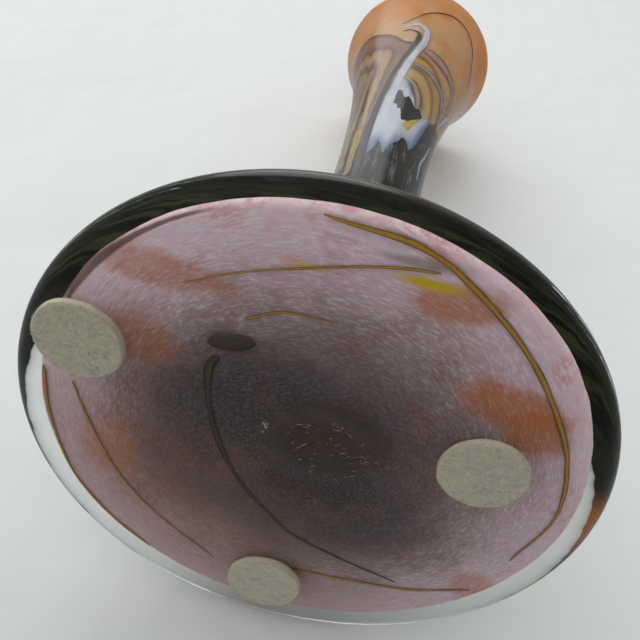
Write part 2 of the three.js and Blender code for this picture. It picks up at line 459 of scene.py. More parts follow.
# the pink foot colour
footColour = {
    "frost": paint(250, 244, 252),
    "rose": paint(208, 146, 156),
    "lilac": paint(150, 140, 156),
    "rust": paint(138, 84, 60),
    "warm": paint(172, 126, 96),
    "orange": paint(200, 116, 54),
    "yellow": paint(226, 190, 20),
    "wedge": paint(128, 122, 104),
    "cream": paint(252, 222, 196),
    "brownLine": paint(74, 46, 28),
    "gobShade": paint(60, 48, 30),
    "pontilBrown": paint(66, 48, 32),
    "top": 14.1,
    "through": 0.12,
    "glow": paint(200, 150, 150),
    # place and size of single patches, in millimetres
    "wedgeAt": ((15, -72.5), (9, 1.1)),
    "yellowAt": ((17.5, -68), (7, 1.7)),
    "yellowFarAt": ((-11, -64), (5, 1.1)),
    "gobShadeAt": ((-25.6, -35), (6.5, 3)),
    "pontilBrownAt": ((6, -9), (17, 14)),
    # from the middle out: share of the foot's radius and its colour
    "radial": (
        (0.0, paint(66, 55, 50)),
        (0.22, paint(72, 62, 60)),
        (0.36, paint(96, 80, 80)),
        (0.5, paint(136, 112, 108)),
        (0.66, paint(174, 146, 144)),
        (0.8, paint(222, 190, 200)),
        (0.93, paint(242, 212, 226)),
        (1.0, paint(250, 212, 214)),
    ),
}
# places and sizes in millimetres over the foot
orangePatches = (
    ((47, -39), (13, 7), 0.85),
    ((57, -31), (9, 8), 0.85),
    ((25, -64), (11, 5), 0.75),
    ((-66, -26), (8, 9), 0.5),
    ((-52, -29), (12, 9), 0.55),
    ((-58, 18), (9, 12), 0.45),
    ((64, 40), (8, 7), 0.55),
    ((-44, -52), (16, 5), 0.6),
)
shadePatches = (
    ((-26, -8), (26, 24)),
    ((-34, 16), (20, 20)),
    ((8, 24), (34, 16)),
)
linePlaces = {
    "from": -156,
    "to": -110,
    "fadeIn": 4,
    "fadeOut": 12,
    "creamRadius": 78.7,
    "brownRadius": 77.9,
}


def footPaint(r):
    c = footColour
    places = r.spots()
    x, y, z = r.split(places)
    flat = r.join(x, y, 0)
    radius = (x * x + y * y) ** 0.5
    turnX = x / (radius + 0.5)
    turnY = y / (radius + 0.5)
    # powder drawn out round the foot as it was spun
    drift = r.cloud(flat, 0.03, 2) * 0.5
    fine = r.cloud(r.join(turnX * 15, turnY * 15, radius * 1.1 + drift * 6), 1.5, 6, 0.72)
    broad = r.cloud(r.join(turnX * 4, turnY * 4, radius * 0.16 + drift * 4), 1.4, 4, 0.6)
    grain = r.cloud(flat, 1.3, 4, 0.75)
    slow = r.cloud(flat, 0.045, 3)
    wobble = (r.cloud(flat, 0.07, 4, 0.6) - 0.5) * 1.3
    # the dark shoulder shows through where the powder is thin
    shade = None
    for place, size in shadePatches:
        shade = largest(shade, r.patch(x, y, wobble * 0.5, place, size, 0.7))
    share = radius / 80 - shade * 0.2 + (broad - 0.5) * 0.22 + wobble * 0.04
    colour = r.bands(share, c["radial"])
    rose = r.fade(broad, 0.48, 0.66) * r.fade(fine, 0.6, 0.4)
    colour = r.mix(rose * r.fade(share, 0.6, 0.9) * 0.55, colour, c["rose"])
    colour = r.mix(r.fade(slow, 0.48, 0.62) * r.fade(share, 0.95, 0.6) * 0.4, colour, c["rust"])
    speckle = r.fade(fine, 0.46, 0.66) * 0.85 + r.fade(grain, 0.5, 0.75) * 0.3
    colour = r.mix(speckle * r.fade(share, 0.35, 0.85, 0.06, 0.85), colour, c["frost"])
    haze = r.fade(fine, 0.42, 0.7) * r.fade(share, 0.8, 0.4) * 0.4
    colour = r.mix(haze, colour, c["lilac"])
    warm = r.fade(y * 0.8 - x * 0.5, 0, 60) * r.fade(share, 1.1, 0.8, 0.3, 0.5)
    colour = r.mix(warm, colour, c["warm"])
    for place, size, strength in orangePatches:
        spot = r.patch(x, y, wobble, place, size, 0.4)
        colour = r.mix(spot * (1 - speckle * 0.3) * strength, colour, c["orange"])
    wedge = r.patch(x, y, wobble * 0.5, *c["wedgeAt"], 0.6)
    colour = r.mix(wedge * 0.6, colour, c["wedge"])
    yellow = r.patch(x, y, wobble * 0.8, *c["yellowAt"], 0.6)
    yellow = largest(yellow, r.patch(x, y, wobble * 0.8, *c["yellowFarAt"], 0.7) * 0.6)
    colour = r.mix(yellow, colour, c["yellow"])
    gobShade = r.patch(x, y, wobble * 0.2, *c["gobShadeAt"], 0.6)
    colour = r.mix(gobShade * 0.6, colour, c["gobShade"])
    spot = r.patch(x, y, wobble * 0.3, *c["pontilBrownAt"], 0.25)
    colour = r.mix(spot * 0.7, colour, c["pontilBrown"])
    # a cream and a brown line round part of the edge
    lines = linePlaces
    degrees = mathsOf(r.tree, "ARCTAN2", y, x) * math.degrees(1)
    along = r.fade(degrees, lines["from"], lines["from"] + lines["fadeIn"])
    along = along * r.fade(degrees, lines["to"], lines["to"] - lines["fadeOut"])
    cream = r.fade(radius, lines["creamRadius"] - 0.5, lines["creamRadius"]) * along
    colour = r.mix(cream * 0.85, colour, c["cream"])
    wide = r.fade(degrees, lines["to"] - lines["fadeOut"], lines["from"] + 6, 0.2, 0.8)
    brown = r.fade(abs(radius - lines["brownRadius"]), wide + 0.2, wide * 0.5) * along
    return r.mix(brown * 0.85, colour, c["brownLine"])


def footGlass():
    r = Recipe("footGlass")
    return r.surface(footPaint(r), 0.45, 0.0, footColour["through"], footColour["glow"])


colourOuter = surfaceProfile(colourDepth)
colourInner = surfaceProfile(colourBack)
pinkTop = footColour["top"]
pinkFoot = spun(between(colourOuter, 0, pinkTop) + between(colourInner, 0, pinkTop)[::-1])
finished(pinkFoot, "pink_foot_colour", footGlass(), ("pink_base_overlay",))
print("foot colour made")


# the shoulder, neck and lip colours
neckColour = {
    "black": paint(15, 17, 13),
    "green": paint(28, 32, 21),
    "moss": paint(84, 90, 52),
    "slate": paint(66, 74, 86),
    "wisp": paint(150, 158, 154),
    "tan": paint(150, 108, 76),
    "amber": paint(190, 112, 44),
    "peach": paint(252, 216, 166),
    "cream": paint(254, 238, 206),
    "orange": paint(252, 182, 102),
    "yellow": paint(246, 214, 110),
    "darkTop": 210,
    "gap": 0.3,
    "curlBelow": 12,
    "underRim": 0.9,
    "glow": paint(255, 214, 140),
    "mostThrough": 0.5,
    "throughFrom": 205,
    "throughTo": 265,
    # share of the height: how far left of the front the marbling's right edge lies
    "border": (
        (0.1, 0.225), (0.26, 0.225), (0.354, 0.3), (0.465, 0.375), (0.55, 0.475),
        (0.624, 0.6), (0.69, 0.75), (0.74, 0.875), (0.79, 0.925),
    ),
    # degrees from the front: share of the height that the marbling reaches
    "cap": (
        (-150, 0.5), (-125, 0.62), (-108, 0.74), (-92, 0.83), (-70, 0.849),
        (-56, 0.839), (-40, 0.803), (-27, 0.769), (-18, 0.738), (0, 0.738),
    ),
    # degrees from the front: share of the height that the dark colour reaches
    "torn": (
        (-180, 0.42), (-120, 0.3), (-70, 0.14), (-45, 0.1), (-27, 0.2), (-14, 0.255),
        (-4, 0.235), (5, 0.27), (16, 0.29), (24, 0.295), (30, 0.28), (42, 0.385),
        (60, 0.47), (80, 0.46), (110, 0.34), (150, 0.44), (180, 0.42),
    ),
    # unevenness, (degrees, height), size and softness of the amber spots over the rim
    "blotches": (
        (0.5, (-61, 17), (6, 3), 0.4),
        (0.6, (96, 17), (8, 5), 0.5),
        (0.9, (116, 16), (5, 4), 0.5),
    ),
    # bands from the black outline and the cap arc into the marbling
    "marble": (
        (0.0, paint(70, 52, 40)),
        (0.04, paint(186, 154, 140)),
        (0.15, paint(172, 140, 124)),
        (0.19, paint(84, 66, 54)),
        (0.24, paint(224, 190, 116)),
        (0.33, paint(238, 214, 172)),
        (0.41, paint(170, 146, 132)),
        (0.47, paint(72, 62, 56)),
        (0.54, paint(234, 210, 160)),
        (0.66, paint(190, 168, 154)),
        (0.8, paint(228, 216, 196)),
        (1.0, paint(198, 188, 180)),
    ),
    # bands from the white shard's tip out to the mauve arc
    "nest": (
        (0.0, paint(60, 46, 40)),
        (0.3, paint(222, 186, 100)),
        (0.4, paint(140, 110, 92)),
        (0.5, paint(240, 210, 120)),
        (0.62, paint(250, 226, 160)),
        (0.7, paint(160, 132, 112)),
        (0.76, paint(238, 204, 116)),
        (0.88, paint(246, 218, 118)),
        (0.93, paint(140, 110, 88)),
        (1.0, paint(250, 206, 154)),
    ),
}


def polar(r, x, y, z):
    # degrees round from the front, and share of the height from waist to lip
    waist = vessel["waistHeight"]
    share = (z - waist) / (overallHeight - waist)
    rise = share.maths("MAXIMUM", 0)
    lean = rise * rise * vessel["lipLean"]
    angle = mathsOf(r.tree, "ARCTAN2", x - lean, 0 - y) * math.degrees(1)
    return angle, share


def neckPaint(r):
    c = neckColour
    places = r.spots()
    x, y, z = r.split(places)
    angle, share = polar(r, x, y, z)
    radius = (x * x + y * y) ** 0.5
    turnX, turnY = x / radius, y / radius
    climb = z - radius * 0.8
    warp = (r.cloud(places, 0.05, 3) - 0.5) * 2
    # colour drawn out along the neck, and round the rim
    streak = r.cloud(r.join(turnX * 9, turnY * 9, climb * 0.035 + warp * 0.8), 0.8, 5, 0.6)
    thread = r.cloud(r.join(turnX * 14, turnY * 14, climb * 0.04 + warp), 0.9, 4, 0.6, 0.5)
    hoop = r.cloud(r.join(turnX * 3, turnY * 3, climb * 0.35 + warp), 1.0, 5, 0.6)
    grain = r.cloud(places, 1.4, 3, 0.7)
    slow = r.cloud(places, 0.05, 3, 0.6)
    # powdery peach lip
    peach = r.mix(r.fade(grain, 0.35, 0.7), c["peach"], c["cream"])
    peach = r.mix(r.fade(slow, 0.42, 0.62) * 0.85, peach, c["orange"])
    lowYellow = r.fade(share, 0.99, 0.6) * r.fade(r.cloud(places, 0.075, 3, 0.6), 0.38, 0.54)
    peach = r.mix(lowYellow * 0.9, peach, c["yellow"])
    peach = r.mix(r.fade(share, 0.88, 1.0) * 0.5, peach, c["orange"])
    # nested bands right of the white shard
    across = angle / 66
    up = (share - 0.42) / 0.27
    nestPlace = (across * across + up * up) ** 0.5 + warp * 0.05 + (streak - 0.5) * 0.06
    nest = r.fade(nestPlace, 1.02, 0.98) * r.fade(share, 0.36, 0.4)
    colour = r.mix(nest, peach, r.bands(nestPlace, c["nest"]))
    # marbling left of the black outline, under the cap arc
    border = r.curve(share, 0, 1, c["border"]) * 40 - 40
    cap = r.curve(angle, -180, 180, c["cap"])
    fromSide = (border - angle) / 60
    fromCap = (cap - share + warp * r.fade(angle, -60, -110) * 0.05) / 0.4
    inward = fromSide.maths("SMOOTH_MIN", fromCap, 0.12)
    left = r.fade(inward, -0.004, 0.012)
    inward = inward + (streak - 0.5) * 0.3 * r.fade(inward, 0, 0.3) + warp * 0.07
    marble = r.bands(inward.maths("MAXIMUM", 0), c["marble"])
    marble = r.mix(r.ridges(thread, 24) * 0.45, marble, c["black"])
    # pale streaks in the lower marbling: partly the marbling's own colour, partly a painted
    # reflection along the neck's left side
    marble = r.mix(r.ridges(streak, 16) * r.fade(share, 0.5, 0.1) * 0.7, marble, c["wisp"])
    colour = r.mix(left, colour, marble)
    # dark shoulder colour, torn off in points round the neck
    torn = share - r.curve(angle, -180, 180, c["torn"]) + (thread - 0.5) * 0.14
    dark = r.fade(torn, 0.01, -0.01)
    deep = r.mix(r.fade(hoop, 0.4, 0.65), c["black"], c["green"])
    onNeck = r.fade(climb, 20, 100)
    sparse = r.fade(r.cloud(r.join(turnX * 4, turnY * 4, climb * 0.03), 1.0, 2), 0.46, 0.6)
    deep = r.mix(r.ridges(streak, 26) * onNeck * sparse * 0.75, deep, c["wisp"])
    deep = r.mix(r.ridges(thread, 34) * onNeck * (1 - sparse) * 0.3, deep, c["tan"])
    olive = r.fade(z, 18.5, 23) * r.fade(z, 60, 36) * r.fade(hoop, 0.42, 0.6)
    deep = r.mix(olive * 0.4, deep, c["moss"])
    slateRight = r.fade(angle, 28, 45) * r.fade(angle, 88, 70)
    slateTurn = largest(r.fade(angle, -45, -75), slateRight)
    deep = r.mix(r.fade(z, 18, 16) * slateTurn * 0.8, deep, c["slate"])
    blotch = None
    for uneven, place, size, softness in c["blotches"]:
        blotch = largest(blotch, r.patch(angle, z, warp * uneven, place, size, softness))
    deep = r.mix(blotch * 0.9, deep, c["amber"])
    return r.mix(dark, colour, deep)


def neckGlass(name):
    # lets more light through towards the lip
    c = neckColour
    r = Recipe(name)
    height = r.split(r.spots())[2]
    through = r.fade(height, c["throughFrom"], c["throughTo"], 0.02, c["mostThrough"])
    return r.surface(neckPaint(r), 0.4, 0.0, through, c["glow"])


def colourBand(low, high, curl=()):
    outside = between(colourOuter, low, high)
    inside = between(colourInner, low, high)
    return leaned(spun(outside + list(curl) + inside[::-1], closed=True))


def rimCurl():
    # the lip colour turns outwards and follows the rounded rim, a little under the skin
    under = neckColour["underRim"]
    reach = overallHeight - lipTurn - under
    points = []
    for drop, share in ((6.5, 2.4), (3.5, 1.4)):
        skin = between(outer, lipTurn - drop, overallHeight)[0]
        points.append(Vector((skin.x - under * share, skin.y)))
    for i in range(7):
        angle = math.pi * 0.62 * i / 6
        points.append(lipCentre + Vector((math.cos(angle), math.sin(angle))) * reach)
    return points


darkTop = neckColour["darkTop"]
finished(
    colourBand(pinkTop + neckColour["gap"], darkTop),
    "dark_shoulder_colour", neckGlass("shoulderGlass"), ("dark_shoulder_overlay",),
)
finished(
    colourBand(darkTop, overallHeight - neckColour["curlBelow"], rimCurl()),
    "peach_lip_colour", neckGlass("lipGlass"), ("peach_lip_overlay",),
)
print("neck colours made")


# threads and pieces laid in the glass
def ringAlong(bm, stations, sides=8):
    # a flattened tube through stations of (centre, across, up, half width, half thickness)
    acrossLayer = bm.verts.layers.float.get("across") or bm.verts.layers.float.new("across")
    rings = []
    for centre, across, up, wide, thick in stations:
        ring = []
        for i in range(sides):
            angle = fullTurn * i / sides
            offset = across * math.cos(angle) * wide + up * math.sin(angle) * thick
            vert = bm.verts.new((centre + offset) * mm)
            vert[acrossLayer] = abs(math.cos(angle))
            ring.append(vert)
        rings.append([bm.edges.new((a, b)) for a, b in zip(ring, ring[1:] + ring[:1])])
    for first, second in zip(rings, rings[1:]):
        bmesh.ops.bridge_loops(bm, edges=first + second)
    bmesh.ops.holes_fill(bm, edges=rings[0] + rings[-1], sides=0)


def strands(bm, paths, radius):
    # thin round strands added to bm; each path holds (place, share of the radius) pairs
    curve = bpy.data.curves.new("strands", "CURVE")
    curve.dimensions = "3D"
    curve.bevel_depth = radius * mm
    curve.bevel_resolution = 0
    curve.use_fill_caps = True
    for path in paths:
        spline = curve.splines.new("POLY")
        spline.points.add(len(path) - 1)
        for point, (place, thin) in zip(spline.points, path):
            point.co = (*(place * mm), 1)
            point.radius = thin
    holder = added("strands", curve)
    settled = holder.evaluated_get(bpy.context.evaluated_depsgraph_get())
    mesh = bpy.data.meshes.new_from_object(settled)
    bm.from_mesh(mesh)
    bpy.data.objects.remove(holder)
    bpy.data.curves.remove(curve)
    bpy.data.meshes.remove(mesh)


def bentLine(start, way, bend, length):
    # places along a bent strand, each with its share of the way
    for i in range(5):
        share = i / 4
        yield start + way * length * share + bend * length * share * share, share


def smoothLine(points, steps):
    # a smooth line through points, as places along a Catmull-Rom curve
    ends = [points[0] * 2 - points[1]] + list(points) + [points[-1] * 2 - points[-2]]
    line = []
    for i in range(1, len(ends) - 2):
        before, start, end, after = ends[i - 1:i + 3]
        handleA = start + (end - before) / 6
        handleB = end - (after - start) / 6
        piece = geometry.interpolate_bezier(start, handleA, handleB, end, steps + 1)
        line += piece[:-1]
    return line + [ends[-2]]


def threadGlass(name, core, edge, seed):
    r = Recipe(name)
    places = r.spots()
    across = r.node("ShaderNodeAttribute", {"attribute_name": "across"}, output="Fac")
    mottle = r.cloud(r.vector("ADD", places, (seed, 0, 0)), 0.35, 4, 0.65)
    colour = r.mix(r.fade(across + (mottle - 0.5) * 0.8, 0.35, 0.85), core, edge)
    return r.surface(colour, 0.25, 0.2)


flatRadius = footRadius - vessel["rimRounding"]
trails = {
    "level": 11.4,
    "thick": 0.3,
    # share of the flat foot's radius, degrees, half width in millimetres
    "base_trail_outer": (
        (1.0, -97, 0.3), (0.99, -80, 0.6), (0.96, -66, 0.8), (0.93, -50, 0.85),
        (0.92, -36, 0.8), (0.935, -20, 0.7), (0.95, -2, 0.55), (0.93, 17, 0.3),
    ),
    "base_trail_upper": (
        (0.955, -75, 0.45), (0.91, -83, 0.4), (0.84, -97, 0.35), (0.815, -113, 0.3),
        (0.825, -128, 0.15),
    ),
    "base_trail_inner": ((0.64, -118, 0.5), (0.66, -106, 0.35), (0.65, -90, 0.15)),
    "base_trail_centre": (
        (0.53, -134, 0.9), (0.5, -142, 1.1), (0.4, -160, 0.95), (0.32, 169, 0.8), (0.32, 132, 0.65),
        (0.38, 104, 0.55), (0.48, 85, 0.5), (0.62, 64, 0.4), (0.8, 50, 0.25),
    ),
    "base_trail_left": (
        (0.89, -175, 0.55), (0.83, 171, 0.5), (0.8, 150, 0.4), (0.79, 130, 0.35), (0.83, 109, 0.2),
    ),
    "base_trail_rim": (
        (1.0, -173, 0.55), (0.99, 172, 0.55), (1.0, 154, 0.5), (1.0, 138, 0.5), (1.0, 124, 0.4),
    ),
    "base_trail_back": ((0.72, 86, 0.6), (0.76, 65, 0.65), (0.86, 48, 0.8), (0.97, 33, 0.5)),
}
goldThread = threadGlass("goldThread", paint(176, 134, 42), paint(112, 76, 28), 3)
darkThread = threadGlass("darkThread", paint(64, 49, 30), paint(46, 34, 22), 9)
threadUp = Vector((0, 0, 1))
for name in [key for key in trails if key.startswith("base_")]:
    knots = []
    for share, degrees, half in trails[name]:
        angle = math.radians(degrees)
        place = bearing(angle) * flatRadius * share
        knots.append(Vector((place.x, place.y, half)))
    line = smoothLine(knots, 8)
    stations = []
    for i, knot in enumerate(line):
        before, after = line[max(i - 1, 0)], line[min(i + 1, len(line) - 1)]
        way = Vector((after.x - before.x, after.y - before.y, 0)).normalized()
        across = way.cross(threadUp)
        centre = Vector((knot.x, knot.y, trails["level"]))
        wide = knot.z * (1 + 0.35 * noise.noise(Vector((knot.x, knot.y, 5)) / 9))
        if i in (0, len(line) - 1):
            wide *= 0.3
        stations.append((centre, across, threadUp, wide, trails["thick"]))
    bm = bmesh.new()
    ringAlong(bm, stations)
    bmesh.ops.recalc_face_normals(bm, faces=bm.faces)
    look = darkThread if name == "base_trail_centre" else goldThread
    finished(bm, name + "_thread", look, (name,))

gob = {"place": (-25.6, -35.4), "size": (6.5, 2.6, 0.5), "turn": -17}
bm = bmesh.new()
bmesh.ops.create_uvsphere(bm, u_segments=32, v_segments=16, radius=mm)
bmesh.ops.scale(bm, vec=gob["size"], verts=bm.verts)
gobTurn = Matrix.Rotation(math.radians(gob["turn"]), 3, "Z")
bmesh.ops.rotate(bm, cent=(0, 0, 0), matrix=gobTurn, verts=bm.verts)
bmesh.ops.translate(bm, vec=Vector((*gob["place"], trails["level"])) * mm, verts=bm.verts)
finished(bm, "dark_gob", darkThread, ("centre_gob",))
print("threads made")

# pieces laid on the neck, and how ragged their edges are
laidProfile = surfaceProfile(laidDepth)
jag = {"across": 0.9, "along": 0.5, "acrossSize": 0.45, "alongSize": 0.6}


def onNeck(degrees, share, lift=0):
    # a place on the laid layer, in millimetres, with its outward direction
    z = vessel["waistHeight"] + (overallHeight - vessel["waistHeight"]) * share
    ring = between(laidProfile, z, overallHeight)
    radius = ring[0].x + lift
    angle = math.radians(degrees)
    out = Vector((math.sin(angle), -math.cos(angle), 0))
    return out * radius + Vector((leanAt(z), 0, z)), out


def laidPatch(name, outline, material, replaced=(), lift=0):
    knots = [Vector((degrees, share * 100, 0)) for degrees, share in outline]
    around = smoothLine(knots[-2:] + knots + knots[:2], 5)[10:-10]
    bm = bmesh.new()
    verts = []
    for knot in around:
        across = noise.noise(knot * jag["acrossSize"]) * jag["across"]
        along = noise.noise(knot * jag["alongSize"]) * jag["along"]
        verts.append(bm.verts.new((knot.x + across, knot.y + along, 0)))
    bm.faces.new(verts)
    bmesh.ops.triangulate(bm, faces=bm.faces, ngon_method="BEAUTY")
    for _ in range(2):
        bmesh.ops.subdivide_edges(bm, edges=bm.edges, cuts=1, use_grid_fill=True)
    for vert in bm.verts:
        place, _ = onNeck(vert.co.x, vert.co.y / 100, lift)
        vert.co = place * mm
    bmesh.ops.recalc_face_normals(bm, faces=bm.faces)
    middle = sum((f.calc_center_median() for f in bm.faces), Vector()) / len(bm.faces)
    facing = sum((f.normal for f in bm.faces), Vector())
    if facing.dot(Vector((middle.x, middle.y, 0))) < 0:
        bmesh.ops.reverse_faces(bm, faces=bm.faces)
    made = bmesh.ops.extrude_face_region(bm, geom=bm.faces[:], use_keep_orig=True)
    for vert in [v for v in made["geom"] if isinstance(v, bmesh.types.BMVert)]:
        away = Vector((vert.co.x - leanAt(vert.co.z / mm) * mm, vert.co.y, 0)).normalized()
        vert.co -= away * laid["patchThick"] * mm
    bmesh.ops.recalc_face_normals(bm, faces=bm.faces)
    finished(bm, name, material, replaced)


def laidThread(name, route, material, replaced=(), lift=0):
    # route holds degrees, share of the height and half width in millimetres
    line = smoothLine([Vector((d, s * 100, w)) for d, s, w in route], 8)
    stations = []
    for i, knot in enumerate(line):
        centre, out = onNeck(knot.x, knot.y / 100, lift)
        behind, ahead = line[max(i - 1, 0)], line[min(i + 1, len(line) - 1)]
        before, _ = onNeck(behind.x, behind.y / 100, lift)
        after, _ = onNeck(ahead.x, ahead.y / 100, lift)
        low, _ = onNeck(knot.x, knot.y / 100 - 0.01, lift)
        high, _ = onNeck(knot.x, knot.y / 100 + 0.01, lift)
        rise = (high - low).normalized()
        out = (out - rise * out.dot(rise)).normalized()
        across = (after - before).normalized().cross(out).normalized()
        wide = knot.z * (0.35 if i in (0, len(line) - 1) else 1)
        stations.append((centre, across, out, wide, laid["threadThick"]))
    bm = bmesh.new()
    ringAlong(bm, stations)
    bmesh.ops.recalc_face_normals(bm, faces=bm.faces)
    finished(bm, name, material, replaced)


def whiteGlass():
    r = Recipe("whiteGlass")
    places = r.spots()
    x, y, z = r.split(places)
    angle, share = polar(r, x, y, z)
    cloud = r.cloud(r.vector("MULTIPLY", places, (0.3, 0.3, 0.08)), 1, 4, 0.6)
    low = r.curve(angle, -40, 60, laid["shardFoot"])
    blue = r.fade(share - low + (cloud - 0.5) * 0.08, 0.075, -0.005)
    colour = r.mix(r.fade(cloud, 0.35, 0.7) * 0.5, paint(236, 242, 250), paint(196, 208, 228))
    colour = r.mix(blue * 0.85, colour, paint(92, 122, 176))
    return r.surface(colour, 0.3, 0.1, 0.15, paint(220, 228, 240))


# outlines hold (degrees from the front, share of the height from the waist to the lip),
# and routes also half the width in millimetres
laid = {
    "patchThick": 0.45,
    "threadThick": 0.3,
    "shard": (
        (-27, 0.18), (-20, 0.185), (-14, 0.22), (-9, 0.2), (-5, 0.175), (-1, 0.2), (3, 0.22),
        (10, 0.24), (16, 0.266), (23, 0.255), (29, 0.235), (36, 0.27), (42, 0.345), (47, 0.43),
        (40, 0.415), (32, 0.375), (22, 0.32), (13, 0.297), (9, 0.31), (7, 0.33), (-1, 0.375),
        (-7, 0.43), (-8, 0.47), (-6, 0.55), (-15, 0.54), (-19, 0.48), (-22, 0.432),
        (-25, 0.36), (-27.5, 0.28),
    ),
    # where the shard turns blue along its foot
    "shardFoot": (
        (-40, 0.18), (-14, 0.22), (-5, 0.18), (3, 0.22), (29, 0.25), (46, 0.42), (60, 0.42),
    ),
    "swoosh": (
        (-12, 0.44, 1.9), (-11, 0.52, 2.2), (-7.5, 0.6, 2.3), (-1.5, 0.68, 2.1), (4, 0.745, 2.3),
        (3.5, 0.8, 2.2), (-3, 0.828, 1.6), (-10, 0.832, 1.1), (-20, 0.815, 0.5),
    ),
    "black": (
        (-35, 0.06, 2.2), (-34, 0.2, 2.2), (-31.5, 0.33, 1.9), (-27.5, 0.44, 1.5),
        (-21.5, 0.54, 1.2), (-15, 0.62, 1.1), (-8.5, 0.69, 1.2), (-4, 0.745, 1.5),
        (-4, 0.785, 1.2), (-12, 0.8, 0.9), (-21, 0.795, 0.6),
    ),
    "capArc": (
        (-7, 0.735, 0.9), (-18, 0.74, 0.8), (-27, 0.77, 0.7), (-40, 0.803, 0.7), (-56, 0.839, 0.8),
        (-72, 0.85, 0.8), (-92, 0.84, 0.7), (-104, 0.78, 0.6), (-108, 0.7, 0.4),
    ),
    "notch": (
        (-9, 0.41), (-5, 0.404), (-2, 0.385), (1, 0.39), (4, 0.36), (8, 0.338), (12, 0.346),
        (15, 0.336), (20, 0.358), (24, 0.364), (29, 0.376), (33, 0.4), (30, 0.412),
        (26, 0.428), (20, 0.418), (14, 0.434), (8, 0.456), (2, 0.446), (-3, 0.474), (-8, 0.465),
    ),
    "tip": (
        (10, 0.325), (16, 0.305), (20, 0.31), (25, 0.348), (31, 0.385), (24, 0.368), (15, 0.34),
    ),
    "violet": ((-6, 0.552, 1.4), (6, 0.53, 2.1), (14, 0.5, 2.3), (20, 0.46, 2.0), (22, 0.42, 1.0)),
    "grey": (
        (1, 0.626, 1.2), (14, 0.62, 2.3), (26, 0.612, 2.9), (39, 0.596, 2.8), (50, 0.58, 2.3),
        (57, 0.545, 1.8), (61, 0.5, 0.9),
    ),
    "mauveArc": (
        (7, 0.712, 2.6), (14, 0.708, 4.4), (29, 0.698, 5.4), (45, 0.688, 4.8), (60, 0.676, 3.6),
        (67, 0.65, 2.6), (71, 0.593, 1.7), (71, 0.55, 0.9),
    ),
    "lipArc": (
        (-23, 0.835, 0.3), (-18, 0.846, 0.4), (-9, 0.874, 0.5), (0, 0.9, 0.55), (14, 0.925, 0.6),
        (22, 0.934, 0.6), (34, 0.934, 0.6), (43, 0.925, 0.6), (52, 0.906, 0.6), (59, 0.884, 0.6),
        (69, 0.851, 0.5), (79, 0.824, 0.3),
    ),
    "paleStreak": ((56, 0.17, 0.5), (55, 0.236, 0.8), (60, 0.283, 0.7), (66, 0.36, 0.4)),
    "paleBlob": ((66, 0.47, 0.8), (70, 0.5, 1.6), (76, 0.56, 1.8), (84, 0.62, 1.2)),
}
white = whiteGlass()
black = threadGlass("blackLaid", paint(10, 9, 12), paint(22, 17, 20), 1)
mauve = threadGlass("mauveLaid", paint(186, 154, 140), paint(122, 96, 84), 4)
slate = threadGlass("slateLaid", paint(166, 160, 160), paint(120, 106, 98), 6)
brown = threadGlass("brownLaid", paint(98, 70, 46), paint(70, 46, 30), 7)
amber = threadGlass("amberLaid", paint(222, 184, 66), paint(196, 140, 40), 8)
pale = threadGlass("paleLaid", paint(198, 204, 212), paint(150, 170, 200), 2)
laidPatch("white_shard", laid["shard"], white, ("neck_white_shard",))
laidPatch("dark_notch", laid["notch"], black, ("neck_dark_notch",), lift=0.25)
laidPatch("yellow_tip", laid["tip"], amber, ("neck_yellow_tip",), lift=0.3)
laidThread("white_swoosh", laid["swoosh"], white, lift=-0.1)
laidThread("black_outline", laid["black"], black, ("neck_black_trail",), lift=0.2)
laidThread("brown_cap_arc", laid["capArc"], brown)
laidThread("violet_arc", laid["violet"], mauve, ("neck_violet_arc",))
laidThread("grey_arc", laid["grey"], slate, ("neck_grey_arc",))
laidThread("mauve_arc", laid["mauveArc"], mauve, ("lip_mauve_arc",))
laidThread("lip_arc", laid["lipArc"], brown, ("lip_amber_trail",))
laidThread("pale_streak", laid["paleStreak"], pale)
laidThread("pale_blob", laid["paleBlob"], pale)
print("laid pieces made")

# felt pads and their films
felt = {
    "radius": 12.5,
    "thick": 2.6,
    "edge": 0.7,
    "base": 0.05,
    "rings": 22,
    "turns": 96,
    "uneven": 0.22,
    "fibres": 1500,
    "fibreLength": 1.5,
    "fibreRadius": 0.04,
    "pale": paint(156, 150, 130),
    "grey": paint(96, 96, 82),
    "dark": paint(44, 42, 34),
    "rim": paint(196, 186, 160),
}


def feltWool():
    r = Recipe("feltWool")
    places = r.spots()
    z = r.split(places)[2]
    lines = None
    for degrees in (12, 71, 134):
        turned = r.node("ShaderNodeMapping", None, {
            "Vector": places,
            "Rotation": (0, 0, math.radians(degrees)),
            "Scale": (0.55, 3.4, 1.6),
        })
        lines = largest(lines, r.ridges(r.cloud(turned, 1.0, 3, 0.6, 0.8), 6))
    tuft = r.cloud(places, 0.45, 4, 0.65)
    matted = r.cloud(places, 2.2, 4, 0.7)
    colour = r.mix(r.fade(tuft, 0.32, 0.68), felt["grey"], felt["pale"])
    colour = r.mix(r.fade(matted, 0.55, 0.41) * 0.85, colour, felt["dark"])
    colour = r.mix(lines * 0.7, colour, felt["rim"])
    colour = r.mix(r.fade(z, 0.3, 1.2) * 0.7, colour, felt["rim"])
    height = lines * 0.6 + matted * 0.7 + tuft * 0.5
    return r.surface(colour, 0.95, 0.1, others={
        "Sheen Weight": 0.35,
        "Sheen Roughness": 0.6,
        "Normal": r.bump(height, 0.8, 0.25 * mm),
    })


def stickyFilm():
    r = Recipe("stickyFilm")
    cloud = r.cloud(r.spots(), 0.6, 3)
    colour = r.mix(cloud, paint(206, 198, 170), paint(228, 222, 200))
    return r.surface(colour, 0.5, others={"Normal": r.bump(cloud, 0.3, 0.1 * mm)})


